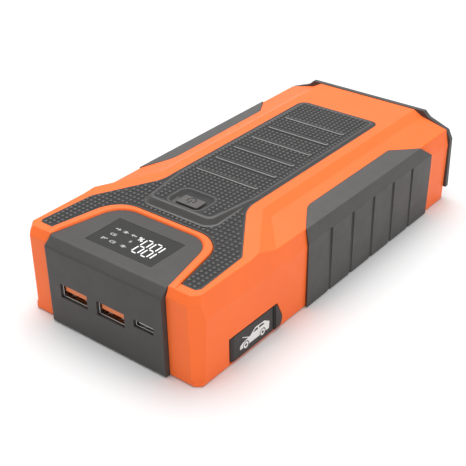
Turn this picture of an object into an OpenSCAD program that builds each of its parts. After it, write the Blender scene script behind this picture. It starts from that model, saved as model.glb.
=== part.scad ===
// Jump starter pack: a lithium battery pack with a jump lead socket, USB ports and a torch.
// +Z is up, the front panel faces -Y, and the jump lead socket is on the +X side.
// The origin is on the table, under the middle of the pack. Sizes are in millimetres.

/* [Casing] */
// Half width of the casing at its waist
waist_half = 42.3; // [42.1:0.1:42.6]
// Half width of the casing at its bottom edge
sole_half = 41.6; // [41.4:0.1:41.8]
// Height of the waist, where the side leans in
waist_z = 27; // [26.5:0.5:27.5]
// Half width of the flat top of the casing
deck_half = 24.6; // [24.2:0.1:25]
// Height of the flat top of the casing
deck_z = 39; // [38.8:0.1:39.2]
// Height of the lower deck round the display
nose_z = 36.2; // [36:0.1:36.4]
// Height of the casing's bottom edge above the table
base_z = 0.3; // [0.2:0.1:0.4]
// Front face of the orange casing
front_y = -84.3; // [-84.6:0.1:-84]
// Rear face of the orange casing
back_y = 83.9; // [83.6:0.1:84.2]

/* [Front panel] */
// Half width of the front panel
panel_half = 28.4; // [28:0.1:28.6]
// How far the front panel stands out of the casing
panel_proud = 2.2; // [1.8:0.1:2.4]
// Height of the display panel's surface
screen_z = 36.1; // [36:0.1:36.3]
// Height of the USB ports' upper edge
port_top = 19.3; // [19:0.1:19.6]

/* [Top pad] */
// Half width of the top pad
pad_half = 20.1; // [19.8:0.1:20.4]
// Thickness of the top pad in its seat
pad_t = 1.2; // [1:0.1:1.3]
// Height of the raised part of the top pad
pad_top = 39.5; // [39.3:0.1:39.7]
// Number of cross ribs on the top pad
ribs = 6; // [3:1:6]
// Distance between cross ribs
rib_pitch = 11.8; // [11:0.1:12]
// Height of a cross rib
rib_h = 0.5; // [0.3:0.1:0.8]

/* [Side grips] */
// Number of grooves in each grip
grooves = 5; // [3:1:5]
// Distance between grooves
groove_pitch = 14.9; // [14:0.1:15.2]
// Width of a groove
groove_w = 1.8; // [1.4:0.1:2.4]
// Depth of a groove
groove_d = 0.8; // [0.5:0.1:1]

/* [Power button] */
// Length of the button across the pack
key_x = 10.2; // [9:0.1:10.4]
// Length of the button along the pack
key_y = 6; // [5:0.1:6.2]
// Travel of the button
key_travel = 0.5; // [0.3:0.1:0.5]

/* [Jump lead socket] */
// Radius of a bullet contact's bore
bullet_r = 2.5; // [2.3:0.1:2.6]
// Distance between the two bullet contacts
bullet_pitch = 10; // [9:0.5:10.5]
// Radius of the cover's hinge pin
pin_r = 0.6; // [0.5:0.05:0.7]
// Running clearance of the cover on its pin
pin_gap = 0.05; // [0.03:0.01:0.08]

/* [Battery] */
// Number of cells in the stack
cells = 4; // [4:1:4]
// Thickness of one cell
cell_t = 6.6; // [6:0.1:6.8]
// Thickness of the foam between cells
foam_t = 0.6; // [0.4:0.1:0.6]

/* [Hidden] */
$fn = 48;
far = 200;

// Casing outline: the ledge beside the top, and where the top slopes down to the nose.
ledge_half = 40.9;
ledge_z = 33.7;
step_half = 28.6;
step_z = 36.8;
slope_back_y = -26.3;
slope_front_y = -54;
corner_cut = 4.4;
brow_y = front_y + 1.9;
brow_z = 32.9;
nose_top_half = 40.4;
sole_cut = 0.4;
foot_rim_z = base_z + 0.9;
foot_rim_cut = 2.4;

// Walls.
cavity_half = 38.2;
cavity_front = -81.6;
cavity_back = 81.4;
roof_t = 2.8;
plate_top = 2.5;
port_window_half = 24.4;

// Display panel and its ring.
panel_face = front_y - panel_proud;
panel_back = -83;
panel_floor = 34.5;
ring_top = 36.9;
ring_ramp = 3.4;
window_half = 15.9;
window_front = -77.4;
window_back = -59.5;

// Top pad.
pad_back = 62.2;
pad_front = -79;
first_rib_y = -16.7;
rib_half = 15.1;
rib_w = 2;

// Power button.
key_at_y = -37.7;
key_top = 38.8;
key_gap = 0.3;
dish_floor = 38;
dish_half_x = 6.9;
dish_half_y = 4.7;
flange_top = 34.3;
flange_t = 1.1;

// Side grips.
grip_front = -22.6;
grip_back = 68;
grip_gap = 0.1;
grip_edge = 33.2;
grip_seat = 40.2;
groove_top = 28.5;
first_groove_y = -7.7;

// Jump lead socket and its cover.
cover_face = 42;
cover_t = 2.2;
cover_front = -67;
cover_rear = -41.4;
cover_low = 1.2;
cover_high = 11.6;
tab_len = 4.1;
tab_tip_z = 4.8;
barrel_r = 1.6;
pin_x = cover_face - barrel_r;
pin_y = cover_front + barrel_r;
cover_gap = 0.35;
well_y = -54;
well_len = 18;
well_low = 3.2;
well_high = 10.6;
well_floor = 33;
socket_back = 20;
bullet_z = (well_low + well_high) / 2;
sleeve_r = bullet_r + 0.6;
lead_r = 2.2;
lead_bend = 6;

// Boards.
board_t = 1.6;
control_z = 19.7;
power_z = 12.2;
display_z = 28;
board_half = 31;
post_x = 28;
post_ys = [-70, -28];
hanger_x = 24;
hanger_ys = [-78.2, -34];

// Battery.
cell_half = 30;
cell_front = -18;
cell_back = 70;
stack_z = 3.6;
tab_x = 18;

// Screws and feet.
boss_x = 35;
boss_ys = [-76, 25, 76];
boss_r = 3;
shank_r = 1.4;
thread_gap = 0.05;
foot_r = 6;
foot_xs = [-27, 27];
foot_ys = [-64, 62];

// Torch.
torch_z = 22;
torch_r = 9;
cap_face = 86.5;
cap_screw_x = 30;

function mirrored(p) = concat(p, [for (i = [len(p) - 1:-1:0]) [-p[i][0], p[i][1]]]);
function mirrored3(p) = concat(p, [for (i = [len(p) - 1:-1:0]) [-p[i][0], p[i][1], p[i][2]]]);
function unit(v) = v / norm(v);
function flat(p) = [p[0], p[1]];
function turn(a) = a > 180 ? a - 360 : a < -180 ? a + 360 : a;

// The arc that rounds corner b of the path a-b-c to radius r.
function corner(a, b, c, r, steps = 8) = r <= 0 ? [b] :
    let (u = unit(a - b), v = unit(c - b), half = acos(u * v) / 2)
    let (mid = b + unit(u + v) * r / sin(half), p = b + u * r / tan(half) - mid)
    let (q = b + v * r / tan(half) - mid, start = atan2(p[1], p[0]))
    let (sweep = turn(atan2(q[1], q[0]) - start))
    [for (i = [0:steps]) mid + r * [cos(start + sweep * i / steps), sin(start + sweep * i / steps)]];

// A closed outline from corners given as [x, y, radius].
function rounded(p) = [for (i = [0:len(p) - 1])
    each corner(flat(p[(i + len(p) - 1) % len(p)]), flat(p[i]), flat(p[(i + 1) % len(p)]), p[i][2])];

function deck_at(y) = y >= slope_back_y ? deck_z : y <= slope_front_y ? nose_z :
    nose_z + (deck_z - nose_z) * (y - slope_front_y) / (slope_back_y - slope_front_y);

// Extrudes an outline drawn in X and Z along Y.
module along_y(y0, y1) {
    translate([0, y1, 0]) rotate([90, 0, 0]) linear_extrude(y1 - y0) children();
}

// Extrudes an outline drawn in Y and Z along X.
module along_x(x0, x1) {
    translate([x0, 0, 0]) rotate([90, 0, 90]) linear_extrude(x1 - x0) children();
}

// Everything below the plane through three points.
module below(a, b, c) {
    n = unit(cross(b - a, c - a));
    up = n[2] < 0 ? -n : n;
    translate(a) rotate([0, acos(up[2]), atan2(up[1], up[0])])
        translate([-far, -far, -2 * far]) cube(2 * far);
}

module both_sides() {
    children();
    mirror([1, 0, 0]) children();
}

module box(low, high) {
    translate(low) cube(high - low);
}

module at_each(xs, ys) {
    for (x = xs, y = ys) translate([x, y, 0]) children();
}

// The casing's outer shape, as one convex nose on a ledged rear body.
module casing_solid() {
    lower = [[sole_half, base_z], [waist_half, waist_z]];
    rear = concat(lower, [[ledge_half, ledge_z], [step_half, step_z], [deck_half, deck_z]]);
    nose = concat(lower, [[waist_half - 2.5, deck_z]]);
    profile = [[front_y, base_z + sole_cut], [front_y, brow_z], [brow_y, nose_z],
        [slope_front_y, nose_z], [slope_back_y, deck_z], [back_y, deck_z], [back_y, base_z],
        [front_y + sole_cut, base_z]];
    plan = mirrored([[waist_half - corner_cut + 0.2, front_y], [waist_half + 0.3, front_y + corner_cut],
        [waist_half + 0.3, back_y]]);
    foot_rim = mirrored([[sole_half - 2.8, front_y], [sole_half + 0.4, front_y + foot_rim_cut],
        [sole_half + 0.4, back_y]]);
    brow = [waist_half - corner_cut, front_y, brow_z];
    brow_top = [waist_half - corner_cut, brow_y, nose_z];
    brow_side = [nose_top_half, brow_y + 2.5, nose_z];
    flank = [[deck_half, slope_back_y, deck_z], [40.2, -48.9, 36.7], [ledge_half, -42.7, 34.5]];
    intersection() {
        union() {
            along_y(front_y, back_y) polygon(mirrored(rear));
            intersection() {
                along_y(front_y, 0) polygon(mirrored(nose));
                below(flank[0], flank[1], flank[2]);
                mirror([1, 0, 0]) below(flank[0], flank[1], flank[2]);
            }
        }
        along_x(-far / 2, far / 2) polygon(profile);
        union() {
            linear_extrude(far) polygon(plan);
            linear_extrude(foot_rim_z) polygon(foot_rim);
        }
        below(brow, brow_top, brow_side);
        mirror([1, 0, 0]) below(brow, brow_top, brow_side);
    }
}

module cavity() {
    section = mirrored([[cavity_half, -1], [cavity_half + 0.3, 26], [37.2, 30.6], [27, 33.2],
        [23.4, deck_z - roof_t]]);
    profile = [[cavity_front, -1], [cavity_front, 30], [cavity_front + 2, nose_z - roof_t],
        [slope_front_y, nose_z - roof_t], [slope_back_y, deck_z - roof_t],
        [cavity_back, deck_z - roof_t], [cavity_back, -1]];
    intersection() {
        along_y(cavity_front, cavity_back) polygon(section);
        along_x(-far / 2, far / 2) polygon(profile);
    }
}

// Outline of the display panel on top, tapering back to two round corners.
module screen_outline(grow = 0) {
    polygon(rounded(mirrored3([[21.5 + grow, -52.9 + grow, 10 + grow], [28.3 + grow, panel_back, 0],
        [28.3 + grow, panel_face - grow, 0]])));
}

// Outer edge of the raised ring round the display panel.
module ring_outline() {
    polygon(rounded(mirrored3([[25.2, -50.3, 12.5], [31.4, brow_y, 0]])));
}

module pad_outline() {
    outer = [[pad_half, pad_back, 4], [pad_half, -30, 12], [36.8, -53.8, 1.5], [38.2, -77.4, 1],
        [36.9, pad_front, 1]];
    difference() {
        polygon(rounded(mirrored3(outer)));
        ring_outline();
    }
}

// The raised rear part of the pad, which runs level out over the slope.
module plateau_outline() {
    polygon(rounded(mirrored3([[18.6, pad_back - 1.5, 3], [18.6, -22, 20], [17, -31, 20],
        [14, -43.6, 3]])));
}

// The slot of a skin that follows the deck, between two depths below it.
module deck_skin(top, bottom) {
    ys = [panel_face, slope_front_y, slope_back_y, back_y];
    along_x(-far / 2, far / 2)
        polygon(concat([for (y = ys) [y, deck_at(y) - top]],
            [for (i = [len(ys) - 1:-1:0]) [ys[i], deck_at(ys[i]) - bottom]]));
}

module key_hole(grow) {
    square([key_x + 2 * grow, key_y + 2 * grow], center = true);
}

module grip_blank(grow = 0) {
    edge = grip_edge - grow;
    seat = [[grip_seat, 26.8], [39, 32.1], [edge, 33.6]];
    skin = [[edge, 35.65], [41.3, 33.9], [43, groove_top], [42.7, base_z], [grip_seat, base_z]];
    room = [[edge, 40], [50, 40], [50, -1], [grip_seat, -1]];
    plan = [[45, grip_front - grow, 0], [41.5, grip_front - grow, 4], [edge, -10, 9], [edge, 48, 1],
        [41, 60.6 + grow, 1], [45, 76 + grow, 0]];
    side = [[grip_front - grow, -1], [grip_back + grow, -1], [grip_back + grow, groove_top],
        [60.4 + grow, 34], [56, 40], [grip_front - grow, 40]];
    intersection() {
        along_y(grip_front - 1, grip_back + 1) polygon(concat(seat, grow > 0 ? room : skin));
        linear_extrude(far, center = true) polygon(rounded(plan));
        along_x(0, far) polygon(side);
    }
}

module grip() {
    difference() {
        grip_blank();
        for (i = [0:grooves - 1])
            translate([43 - groove_d, first_groove_y + i * groove_pitch - groove_w / 2, 0])
                cube([2, groove_w, groove_top]);
    }
}

// Outline of the socket's cover in Y and Z, with the finger tab at its rear end.
module cover_outline(grow = 0) {
    tip_y = cover_rear + tab_len + grow;
    polygon(rounded([[cover_front - grow, cover_low - grow, 0.8],
        [cover_front - grow, cover_high + grow, barrel_r + grow],
        [cover_rear + 0.6 + grow, cover_high + grow, 1], [tip_y, tab_tip_z, 2.6 + grow],
        [tip_y - 1, cover_low - grow, 2 + grow]]));
}

// The recess in the casing's side that holds the cover, and the well behind it.
module port_recess() {
    floor_x = cover_face - cover_t - 0.1;
    front = cover_front - cover_gap;
    low = cover_low - cover_gap;
    height = cover_high - cover_low + 2 * cover_gap;
    along_x(floor_x, far) cover_outline(cover_gap);
    translate([0, 0, low]) linear_extrude(height)
        polygon([[cover_face - 1, front + 1], [cover_face - 1, front], [cover_face, front - 1],
            [far, front - 1], [far, front + 1]]);
    translate([pin_x, pin_y, base_z]) cylinder(r = pin_r + 0.02, h = 13);
    translate([pin_x, pin_y, low]) cylinder(r = barrel_r + 0.25, h = height);
    box([0, well_y - well_len / 2, well_low], [far, well_y + well_len / 2, well_high]);
}

module upper_housing() color([1, 0.42, 0.13]) {
    difference() {
        union() {
            casing_solid();
            intersection() {
                translate([0, 0, screen_z - 3]) linear_extrude(ring_top - screen_z + 3) ring_outline();
                along_x(-far / 2, far / 2) polygon([[brow_y, 0], [brow_y, nose_z],
                    [brow_y + ring_ramp, ring_top], [0, far], [0, 0]]);
            }
        }
        difference() {
            cavity();
            for (y = boss_ys) both_sides() translate([boss_x, y, plate_top]) cylinder(r = boss_r, h = far);
            for (y = hanger_ys) both_sides()
                translate([hanger_x, y, display_z + board_t]) cylinder(r = 2.2, h = far);
        }
        translate([0, 0, panel_floor]) linear_extrude(far) screen_outline(0.1);
        box([-panel_half - 0.1, -far, -1], [panel_half + 0.1, panel_back, far]);
        box([-port_window_half, -far, 6], [port_window_half, 0, 30]);
        box([-window_half - 0.6, window_front - 0.6, 30], [window_half + 0.6, window_back + 0.6, far]);
        intersection() {
            linear_extrude(far) pad_outline();
            deck_skin(-3, pad_t);
        }
        translate([0, key_at_y, 0]) linear_extrude(far) key_hole(0.5);
        both_sides() grip_blank(grip_gap);
        port_recess();
        for (y = boss_ys) both_sides()
            translate([boss_x, y, 0]) cylinder(r = shank_r + thread_gap, h = 13);
        for (y = hanger_ys) both_sides()
            translate([hanger_x, y, 20]) cylinder(r = 1 + thread_gap, h = 13);
        torch_hole(torch_r + 0.2, 70, far);
        both_sides() translate([cap_screw_x, 70, torch_z]) rotate([-90, 0, 0])
            cylinder(r = shank_r + 0.2, h = far);
        both_sides() translate([26.6, panel_back - 1, 12]) rotate([-90, 0, 0])
            cylinder(r = shank_r + 0.2, h = 5);
    }
}

module torch_hole(r, y0, y1) {
    translate([0, y0, torch_z]) rotate([-90, 0, 0]) cylinder(r = r, h = y1 - y0);
}

module base_cover() color([0.2, 0.2, 0.21]) {
    half = cavity_half - 0.2;
    difference() {
        union() {
            box([-half, cavity_front + 0.2, base_z], [half, cavity_back - 0.2, plate_top]);
            at_each([-post_x, post_x], post_ys)
                translate([0, 0, base_z]) cylinder(r = 2.6, h = control_z - base_z);
        }
        for (y = boss_ys) both_sides() translate([boss_x, y, 0]) {
            cylinder(r = shank_r + 0.3, h = 5);
            cylinder(r = 2.8, h = base_z + 1.5);
        }
        at_each(foot_xs, foot_ys) cylinder(r = foot_r + 0.1, h = base_z + 1);
        at_each([-post_x, post_x], post_ys)
            translate([0, 0, control_z - 8]) cylinder(r = 1.2 + thread_gap, h = 10);
    }
}

module port_cut(x0, x1, z0, z1) {
    box([x0, -far, z0], [x1, 0, z1]);
}

module front_panel() color([0.3, 0.3, 0.31]) {
    face = [[panel_face, base_z], [panel_face, 33], [panel_face + 3.8, screen_z], [-20, screen_z],
        [-20, panel_floor], [panel_back, panel_floor], [panel_back, base_z]];
    difference() {
        intersection() {
            along_x(-panel_half, panel_half) polygon(face);
            linear_extrude(far) screen_outline();
        }
        port_cut(-21.6, -8, port_top - 5.9, port_top);
        port_cut(-3.3, 10.3, port_top - 5.9, port_top);
        port_cut(14.7, 23.9, port_top - 3.1, port_top);
        box([-window_half, window_front, screen_z - 1.1], [window_half, window_back, far]);
        box([-window_half + 1.5, window_front + 1.5, 0], [window_half - 1.5, window_back - 1.5, far]);
        both_sides() translate([26.6, panel_back - 2, 12]) rotate([-90, 0, 0])
            cylinder(r = shank_r + thread_gap, h = 5);
    }
}

module rear_cap() color([0.3, 0.3, 0.31]) {
    section = [[43, 6.3], [43, 29.3], [41, 33.3], [31.6, 36.8], [29.1, 39.2]];
    difference() {
        along_y(back_y, cap_face) polygon(mirrored(section));
        torch_hole(torch_r + 0.1, cap_face - 1.6, far);
        torch_hole(torch_r - 0.6, 0, far);
        both_sides() translate([cap_screw_x, back_y - 1, torch_z]) rotate([-90, 0, 0])
            cylinder(r = shank_r + thread_gap, h = 2.8);
    }
}

module top_pad() color([0.22, 0.22, 0.23]) {
    difference() {
        union() {
            intersection() {
                linear_extrude(far) pad_outline();
                deck_skin(-0.1, pad_t);
            }
            intersection() {
                translate([0, 0, 30]) linear_extrude(pad_top - 30) plateau_outline();
                deck_skin(-5, pad_t);
            }
            for (i = [0:ribs - 1])
                translate([0, first_rib_y + i * rib_pitch, pad_top - 0.5]) linear_extrude(0.5 + rib_h) {
                    square([2 * rib_half - rib_w, rib_w], center = true);
                    both_sides() translate([rib_half - rib_w / 2, 0]) circle(d = rib_w);
                }
        }
        translate([0, key_at_y + 0.5, dish_floor]) linear_extrude(5)
            polygon(rounded(mirrored3([[dish_half_x, dish_half_y, 2], [dish_half_x, -dish_half_y, 2]])));
        translate([0, key_at_y, 0]) linear_extrude(far) key_hole(key_gap);
    }
}

module right_grip() color([0.32, 0.32, 0.32]) grip();

module left_grip() color([0.32, 0.32, 0.32]) mirror([1, 0, 0]) grip();

module display_window() color([0.12, 0.12, 0.13])
    box([-window_half + 0.1, window_front + 0.1, screen_z - 1],
        [window_half - 0.1, window_back - 0.1, screen_z]);

module display_module() color([0.85, 0.85, 0.88])
    box([-13.6, window_front + 2, display_z + board_t], [13.6, window_back - 2, panel_floor - 0.2]);

module display_board() color([0.1, 0.35, 0.2]) {
    difference() {
        box([-27, -80.6, display_z], [27, -31.6, display_z + board_t]);
        at_each([-hanger_x, hanger_x], hanger_ys)
            translate([0, 0, display_z - 1]) cylinder(r = 1.2, h = 5);
    }
}

module display_ribbon() color([0.85, 0.55, 0.25]) {
    top = display_z;
    low = control_z + board_t;
    along_x(-6, 6) polygon([[-35, top], [-30.6, top], [-30.6, low], [-35, low], [-35, low + 0.3],
        [-30.9, low + 0.3], [-30.9, top - 0.3], [-35, top - 0.3]]);
}

module power_button() color([0.3, 0.3, 0.31]) {
    translate([0, key_at_y, flange_top - flange_t]) {
        linear_extrude(key_top - flange_top + flange_t)
            polygon(rounded(mirrored3([[key_x / 2, key_y / 2, 0.8], [key_x / 2, -key_y / 2, 0.8]])));
        linear_extrude(flange_t) square([key_x + 3, key_y + 2], center = true);
    }
}

module switch_plunger() color([0.1, 0.1, 0.1])
    translate([0, key_at_y, flange_top - flange_t - 1.3]) cylinder(r = 1.7, h = 1.3);

module tact_switch() color([0.75, 0.75, 0.76]) {
    top = flange_top - flange_t - key_travel - 0.1;
    translate([0, key_at_y, 0]) difference() {
        box([-3, -3, display_z + board_t], [3, 3, top]);
        translate([0, 0, top - 1.6]) cylinder(r = 1.8, h = 5);
    }
}

module port_cover() color([0.2, 0.2, 0.2]) {
    skin = cover_face - cover_t;
    lip = 1.2;
    plug_low = [skin - 1.4, well_y - well_len / 2 + 0.7, well_low + 0.5];
    plug_high = [skin, well_y + well_len / 2 - 0.7, well_high - 0.5];
    difference() {
        union() {
            intersection() {
                along_x(skin, cover_face) cover_outline();
                box([0, pin_y, 0], [far, 0, far]);
            }
            intersection() {
                translate([pin_x, pin_y, 0]) cylinder(r = barrel_r, h = far);
                along_x(0, far) cover_outline();
            }
            difference() {
                box(plug_low, plug_high);
                box(plug_low + [-1, lip, lip], plug_high - [0, lip, lip]);
            }
        }
        translate([pin_x, pin_y, 0]) cylinder(r = pin_r + pin_gap, h = 20);
    }
}

module cover_pin() color([0.75, 0.75, 0.78])
    translate([pin_x, pin_y, base_z + 0.1]) cylinder(r = pin_r, h = 12.8);

module jump_socket() color([0.1, 0.25, 0.55]) {
    difference() {
        box([socket_back, well_y - well_len / 2 - 1.2, plate_top + 0.1],
            [cavity_half - 0.1, well_y + well_len / 2 + 1.2, well_high + 1]);
        box([well_floor, well_y - well_len / 2, well_low], [far, well_y + well_len / 2, well_high]);
        for (side = [-1, 1]) translate([0, well_y + side * bullet_pitch / 2, bullet_z])
            rotate([0, 90, 0]) cylinder(r = sleeve_r + 0.03, h = far);
    }
}

module jump_contacts() color([0.85, 0.68, 0.35]) {
    for (side = [-1, 1]) translate([0, well_y + side * bullet_pitch / 2, bullet_z]) rotate([0, 90, 0])
        difference() {
            translate([0, 0, socket_back - 2]) cylinder(r = sleeve_r, h = well_floor - socket_back + 2);
            translate([0, 0, well_floor - 11]) cylinder(r = bullet_r, h = 20);
        }
}

// A heavy lead: out of the contact along -X, one bend, then along +Y to the bus bar.
module lead(y, x) {
    contact_x = socket_back - 2;
    translate([x + lead_bend, y, bullet_z]) rotate([0, 90, 0])
        cylinder(r = lead_r, h = contact_x - x - lead_bend);
    translate([x + lead_bend, y + lead_bend, bullet_z]) rotate([0, 0, 180])
        rotate_extrude(angle = 90) translate([lead_bend, 0]) circle(r = lead_r);
    translate([x, y + lead_bend, bullet_z]) rotate([-90, 0, 0])
        cylinder(r = lead_r, h = -23.4 - y - lead_bend);
}

module positive_lead() color([0.8, 0.1, 0.1]) lead(well_y + bullet_pitch / 2, 8);

module negative_lead() color([0.1, 0.1, 0.1]) lead(well_y - bullet_pitch / 2, 0);

module usb_shell(x, top, w, h, depth, t) {
    face = panel_face + 0.7;
    difference() {
        box([x - w / 2, face, top - h], [x + w / 2, face + depth, top]);
        box([x - w / 2 + t, face - 1, top - h + t], [x + w / 2 - t, face + depth - t, top - t]);
    }
}

module usb_a_shells() color([0.8, 0.8, 0.82])
    for (x = [-14.8, 3.5]) usb_shell(x, port_top - 0.15, 13.2, 5.6, 14, 0.35);

module usb_a_tongues() color([1, 0.5, 0.2])
    for (x = [-14.8, 3.5])
        box([x - 5.6, panel_face + 1.5, port_top - 3.5], [x + 5.6, panel_face + 14.2, port_top - 0.6]);

module usb_c_shell() color([0.8, 0.8, 0.82]) usb_shell(19.3, port_top - 0.1, 8.9, 2.9, 8, 0.3);

module usb_c_tongue() color([0.6, 0.6, 0.6])
    box([16, panel_face + 1.4, port_top - 1.9], [22.6, panel_face + 8.2, port_top - 1.2]);

module control_board() color([0.1, 0.35, 0.2]) {
    difference() {
        box([-board_half, -80.6, control_z], [board_half, -24, control_z + board_t]);
        at_each([-post_x, post_x], post_ys) translate([0, 0, control_z - 1]) cylinder(r = 1.4, h = 5);
    }
}

module control_chips() color([0.12, 0.12, 0.13]) {
    z = control_z + board_t;
    box([-5, -64, z], [5, -54, z + 1.2]);
    box([-20, -62, z], [-13, -57, z + 1.2]);
    box([13, -62, z], [20, -57, z + 1.2]);
}

module inductors() color([0.25, 0.25, 0.27])
    for (x = [-20, 0, 20])
        box([x - 3.5, -50, control_z + board_t], [x + 3.5, -43, control_z + board_t + 4]);

module capacitors() color([0.2, 0.25, 0.5])
    for (x = [-15, -5, 5, 15]) translate([x, -74, control_z + board_t]) cylinder(r = 3, h = 6);

module power_board() color([0.1, 0.35, 0.2])
    box([-board_half, -66, power_z], [16, -32, power_z + board_t]);

module power_transistors() color([0.12, 0.12, 0.13])
    for (x = [-24, -11, 2])
        box([x - 5, -58, power_z + board_t], [x + 5, -48, power_z + board_t + 2.2]);

module heat_sink() color([0.7, 0.7, 0.72]) {
    z = power_z + board_t + 2.2;
    box([-30, -60, z], [8, -46, z + 1]);
    for (i = [0:9]) box([-30 + i * 4.1, -60, z], [-29 + i * 4.1, -46, z + 3.2]);
}

module relay() color([0.9, 0.9, 0.88])
    box([-25, -60, plate_top + 0.3], [-9, -38, power_z]);

module board_screws() color([0.75, 0.75, 0.77]) {
    at_each([-post_x, post_x], post_ys) {
        translate([0, 0, control_z - 6]) cylinder(r = 1.2, h = 6 + board_t);
        translate([0, 0, control_z + board_t]) cylinder(r = 2.3, h = 1.4);
    }
    at_each([-hanger_x, hanger_x], hanger_ys) {
        translate([0, 0, display_z - 0.5]) cylinder(r = 1, h = 4.6);
        translate([0, 0, display_z - 1.4]) cylinder(r = 1.9, h = 1.4);
    }
}

module cell(i) color([0.35, 0.45, 0.6]) {
    z = stack_z + i * (cell_t + foam_t);
    box([-cell_half, cell_front, z], [cell_half, cell_back, z + cell_t]);
}

module cell_1() cell(0);

module cell_2() cell(1);

module cell_3() cell(2);

module cell_4() cell(3);

module cell_foam() color([0.15, 0.15, 0.15])
    for (i = [0:cells - 2]) {
        z = stack_z + i * (cell_t + foam_t) + cell_t;
        box([-cell_half + 4, cell_front + 6, z], [cell_half - 4, cell_back - 6, z + foam_t]);
    }

module cell_frame() color([0.85, 0.85, 0.8]) {
    box([-31.6, cell_front - 1.2, plate_top + 0.1], [31.6, cell_back + 1.2, stack_z - 0.05]);
    both_sides()
        box([cell_half + 0.2, cell_front - 1.2, plate_top + 0.1], [31.6, cell_back + 1.2, 16]);
}

module cell_tabs() color([0.8, 0.8, 0.8])
    for (i = [0:cells - 1], side = [-1, 1]) {
        z = stack_z + i * (cell_t + foam_t) + cell_t / 2;
        box([side * tab_x - 5, cell_front - 3.4, z - 0.4], [side * tab_x + 5, cell_front, z + 0.4]);
    }

// Bars that join the cells in series, and the two terminals where the heavy leads end.
module bus_bars() color([0.75, 0.5, 0.35]) {
    step = cell_t + foam_t;
    z = stack_z + cell_t / 2;
    y = cell_front - 5.4;
    back = y + 2;
    for (i = [0:cells - 2]) {
        side = i % 2 == 0 ? 1 : -1;
        box([side * tab_x - 5, y, z + i * step - 0.5], [side * tab_x + 5, back, z + (i + 1) * step + 0.5]);
    }
    box([-tab_x - 5, y, z - 2.5], [3, back, z + 3.5]);
    top = z + (cells - 1) * step;
    box([-tab_x - 5, y, top - 0.5], [12, back, top + 2]);
    box([5.4, y, z - 2.5], [12, back, top]);
}

module torch_board() color([0.1, 0.35, 0.2])
    box([-9, 73, torch_z - 9], [9, 74.6, torch_z + 9]);

module torch_led() color([0.95, 0.9, 0.5]) {
    box([-2.5, 74.6, torch_z - 2.5], [2.5, 75.6, torch_z + 2.5]);
    torch_hole(1.6, 75.6, 76.6);
}

module torch_reflector() color([0.9, 0.9, 0.9]) {
    difference() {
        translate([0, 76, torch_z]) rotate([-90, 0, 0])
            cylinder(r1 = 3.6, r2 = torch_r - 0.1, h = back_y - 76);
        translate([0, 75.9, torch_z]) rotate([-90, 0, 0])
            cylinder(r1 = 2.6, r2 = torch_r - 0.8, h = back_y - 75.8);
    }
}

module torch_lens() color([0.9, 0.95, 1]) torch_hole(torch_r, cap_face - 1.55, cap_face - 0.2);

module panel_screws() color([0.75, 0.75, 0.77]) {
    both_sides() {
        translate([cap_screw_x, cavity_back - 1.6, torch_z]) rotate([-90, 0, 0]) {
            cylinder(r = 2.6, h = 1.6);
            cylinder(r = shank_r, h = 5.6);
        }
        translate([26.6, cavity_front, 12]) rotate([90, 0, 0]) {
            translate([0, 0, -1.6]) cylinder(r = 2.6, h = 1.6);
            cylinder(r = shank_r, h = 3.2);
        }
    }
}

module housing_screws() color([0.3, 0.3, 0.32]) {
    for (y = boss_ys) both_sides() translate([boss_x, y, base_z + 0.1]) difference() {
        union() {
            cylinder(r = 2.6, h = 1.4);
            cylinder(r = shank_r, h = 12);
        }
        translate([0, 0, -1]) cylinder(r = 1.2, h = 1.8, $fn = 6);
    }
}

module foot_pads() color([0.12, 0.12, 0.12])
    at_each(foot_xs, foot_ys) cylinder(r = foot_r, h = base_z + 1);

upper_housing();
base_cover();
front_panel();
rear_cap();
top_pad();
left_grip();
right_grip();
display_window();
display_module();
display_board();
display_ribbon();
power_button();
switch_plunger();
tact_switch();
port_cover();
cover_pin();
jump_socket();
jump_contacts();
positive_lead();
negative_lead();
usb_a_shells();
usb_a_tongues();
usb_c_shell();
usb_c_tongue();
control_board();
control_chips();
inductors();
capacitors();
power_board();
power_transistors();
heat_sink();
relay();
board_screws();
cell_1();
cell_2();
cell_3();
cell_4();
cell_foam();
cell_frame();
cell_tabs();
bus_bars();
torch_board();
torch_led();
torch_reflector();
torch_lens();
panel_screws();
housing_screws();
foot_pads();
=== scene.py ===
import math

import bmesh
import bpy
from mathutils import Matrix, Vector


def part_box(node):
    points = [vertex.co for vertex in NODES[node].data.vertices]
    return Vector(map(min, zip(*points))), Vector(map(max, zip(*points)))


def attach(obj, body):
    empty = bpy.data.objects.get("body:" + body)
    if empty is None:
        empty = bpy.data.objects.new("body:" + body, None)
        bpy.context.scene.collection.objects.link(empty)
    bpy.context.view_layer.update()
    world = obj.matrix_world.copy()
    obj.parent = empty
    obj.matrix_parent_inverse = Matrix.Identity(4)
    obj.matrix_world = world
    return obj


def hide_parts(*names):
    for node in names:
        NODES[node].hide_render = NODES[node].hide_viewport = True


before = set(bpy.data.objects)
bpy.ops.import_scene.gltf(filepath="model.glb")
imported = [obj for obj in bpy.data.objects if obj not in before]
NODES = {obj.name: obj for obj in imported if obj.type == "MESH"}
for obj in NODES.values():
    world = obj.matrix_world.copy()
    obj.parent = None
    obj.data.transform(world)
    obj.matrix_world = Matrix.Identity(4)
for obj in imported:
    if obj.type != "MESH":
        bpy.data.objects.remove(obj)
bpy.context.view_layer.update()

# Lengths below are in millimetres; a piece is scaled to metres when its mesh is made.
MM = 0.001

# The deck: level at the rear, a slope, and a lower level round the display.
DECK_Z, NOSE_Z = 39.0, 36.2
SLOPE_BACK_Y, SLOPE_FRONT_Y = -26.3, -54.0

# A face wider than FLAT_WIDTH is plain, and the edge between two of them is sharp. Narrower faces belong to
# a curve. A face is level where its normal's z is over LEVEL_NORMAL.
FLAT_WIDTH, LEVEL_NORMAL = 2.6, 0.9999

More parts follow.
